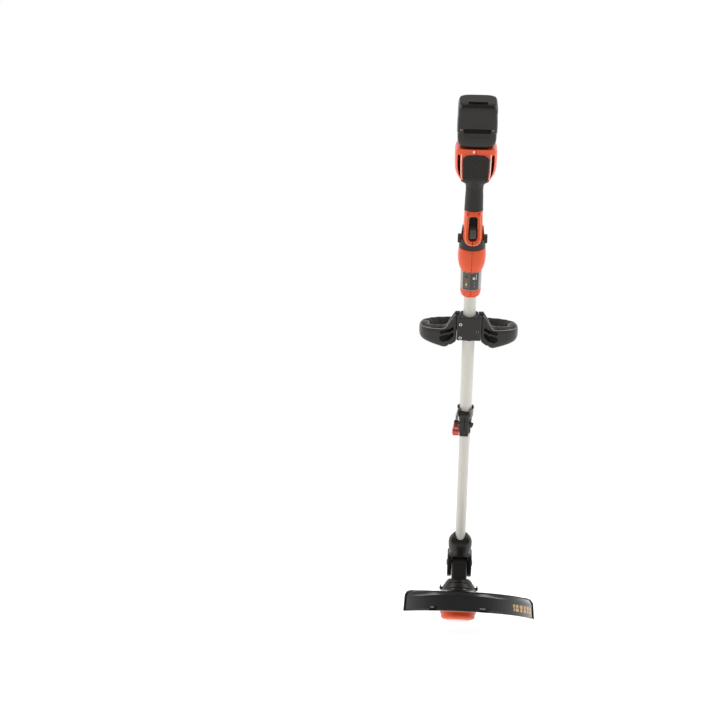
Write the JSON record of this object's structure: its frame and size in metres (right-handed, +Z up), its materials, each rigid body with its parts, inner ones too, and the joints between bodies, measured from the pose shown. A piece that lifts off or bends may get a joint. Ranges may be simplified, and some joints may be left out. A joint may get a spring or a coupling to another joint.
{
  "type": "cordless string trimmer",
  "caption": "Cordless string trimmer: slide-on battery, trigger handle, loop front handle, telescoping shaft, tilting head, guard, edge guide and bump spool.",
  "frame": {"origin": "centre of the rear grip, on the shaft's axis, where the hand holds the tool", "axes": "+Z up and +X to the right as the tool is seen from its trigger side; the trigger side and the operator are at -Y. The shaft lies in the YZ plane and leans 25 degrees from +Z towards the operator, and the cutting head's spool axis lies in it too and leans 13.8 degrees the other way"},
  "size_m": [0.2797, 0.58, 1.074],
  "materials": {
    "orange_shell": "moulded, fine texture",
    "black_moulding": "moulded, satin",
    "guard_plastic": "glossy moulded",
    "grey_moulding": "moulded, satin",
    "soft_grip": "overmoulded elastomer",
    "rating_label": "bare printed film",
    "shaft_tube": "pale satin coating",
    "fastener_steel": "zinc plated",
    "bright_steel": "ground",
    "cell_pack": "nickel strip and sleeved cells",
    "circuit_board": "solder mask",
    "lever_red": "moulded, satin",
    "cutting_line": "extruded nylon"
  },
  "bodies": {
    "handle": {"left_handle_shell": "orange_shell", "right_handle_shell": "orange_shell", "handle_screw_1": "fastener_steel", "handle_screw_2": "fastener_steel", "handle_screw_3": "fastener_steel", "handle_screw_4": "fastener_steel", "grip_sleeve": "soft_grip", "dock_pad": "soft_grip", "lock_collar": "black_moulding", "label_band": "rating_label", "upper_tube": "shaft_tube", "trigger_pin": "fastener_steel", "trigger_spring": "fastener_steel", "switch_module": "black_moulding", "control_board": "circuit_board", "dock_base": "black_moulding", "terminal_block": "black_moulding", "aux_clamp_front": "black_moulding", "aux_clamp_rear": "black_moulding", "aux_screw_1": "fastener_steel", "aux_screw_2": "fastener_steel", "aux_screw_3": "fastener_steel", "aux_pivot_left": "fastener_steel", "aux_pivot_right": "fastener_steel", "height_clamp": "black_moulding", "height_clamp_bolt": "fastener_steel"},
    "battery_pack": {"battery_case": "black_moulding", "battery_cover": "black_moulding", "battery_cells": "cell_pack", "battery_screw_1": "fastener_steel", "battery_screw_2": "fastener_steel"},
    "battery_latch": {"battery_release": "grey_moulding"},
    "trigger": {"trigger": "grey_moulding"},
    "lock_left": {"lock_button_left": "black_moulding"},
    "lock_right": {"lock_button_right": "black_moulding"},
    "front_handle": {"aux_handle": "black_moulding", "aux_grip": "soft_grip"},
    "quick_release": {"height_lever": "lever_red", "lever_pin": "fastener_steel"},
    "lower_shaft": {"lower_tube": "shaft_tube", "tube_socket": "black_moulding"},
    "swivel_yoke": {"yoke": "black_moulding", "head_pivot_pin": "black_moulding"},
    "cutting_head": {"motor_housing": "black_moulding", "motor_base": "black_moulding", "motor": "bright_steel", "head_screw_1": "fastener_steel", "head_screw_2": "fastener_steel", "guard": "guard_plastic", "guard_screw": "fastener_steel", "line_cutter": "bright_steel", "cutter_screw": "fastener_steel"},
    "edge_guide": {"edge_guide": "bright_steel"},
    "spool_assembly": {"drive_shaft": "bright_steel", "spool_hub": "black_moulding", "eyelet_left": "bright_steel", "eyelet_right": "bright_steel", "line_spool": "grey_moulding", "wound_line": "cutting_line", "spool_cap": "orange_shell"}
  },
  "joints": [
    {"name": "battery_slide", "type": "slide", "parent": "handle", "child": "battery_pack", "axis": [0, -0.4226, 0.9063], "range_m": [0, 0.085]},
    {"name": "battery_latch_press", "type": "slide", "parent": "battery_pack", "child": "battery_latch", "axis": [0, 0.4226, -0.9063], "range_m": [0, 0.003], "stiffness_N_per_m": 600, "springref_m": -0.002},
    {"name": "trigger_squeeze", "type": "hinge", "parent": "handle", "child": "trigger", "pos_m": [0, 0.00534, -0.03392], "axis": [1, 0, 0], "range_deg": [0, 8], "stiffness_Nm_per_rad": 0.6, "springref_deg": -5.73, "deforming": ["trigger_spring"]},
    {"name": "lock_left_press", "type": "slide", "parent": "handle", "child": "lock_left", "axis": [1, 0, 0], "range_m": [0, 0.003], "stiffness_N_per_m": 600, "springref_m": -0.002},
    {"name": "lock_right_press", "type": "slide", "parent": "handle", "child": "lock_right", "axis": [-1, 0, 0], "range_m": [0, 0.003], "stiffness_N_per_m": 600, "springref_m": -0.002},
    {"name": "front_handle_tilt", "type": "hinge", "parent": "handle", "child": "front_handle", "pos_m": [0, 0.10798, -0.23156], "axis": [1, 0, 0], "range_deg": [-25, 35]},
    {"name": "quick_release_swing", "type": "hinge", "parent": "handle", "child": "quick_release", "pos_m": [-0.0185, 0.18727, -0.44892], "axis": [0, 0.9063, 0.4226], "range_deg": [0, 100]},
    {"name": "shaft_telescope", "type": "slide", "parent": "handle", "child": "lower_shaft", "axis": [0, -0.4226, 0.9063], "range_m": [0, 0.18]},
    {"name": "yoke_swivel", "type": "hinge", "parent": "lower_shaft", "child": "swivel_yoke", "pos_m": [0, 0.34105, -0.73139], "axis": [0, -0.4226, 0.9063], "range_deg": [0, 180]},
    {"name": "head_tilt", "type": "hinge", "parent": "swivel_yoke", "child": "cutting_head", "pos_m": [0, 0.35373, -0.75858], "axis": [1, 0, 0], "range_deg": [-28, 30]},
    {"name": "edge_guide_fold", "type": "hinge", "parent": "cutting_head", "child": "edge_guide", "pos_m": [0, 0.34037, -0.81296], "axis": [1, 0, 0], "range_deg": [-38, 0]},
    {"name": "spool_spin", "type": "hinge", "parent": "cutting_head", "child": "spool_assembly", "pos_m": [0, 0.32749, -0.8654], "axis": [0, 0.2385, 0.9711], "continuous": true}
  ]
}
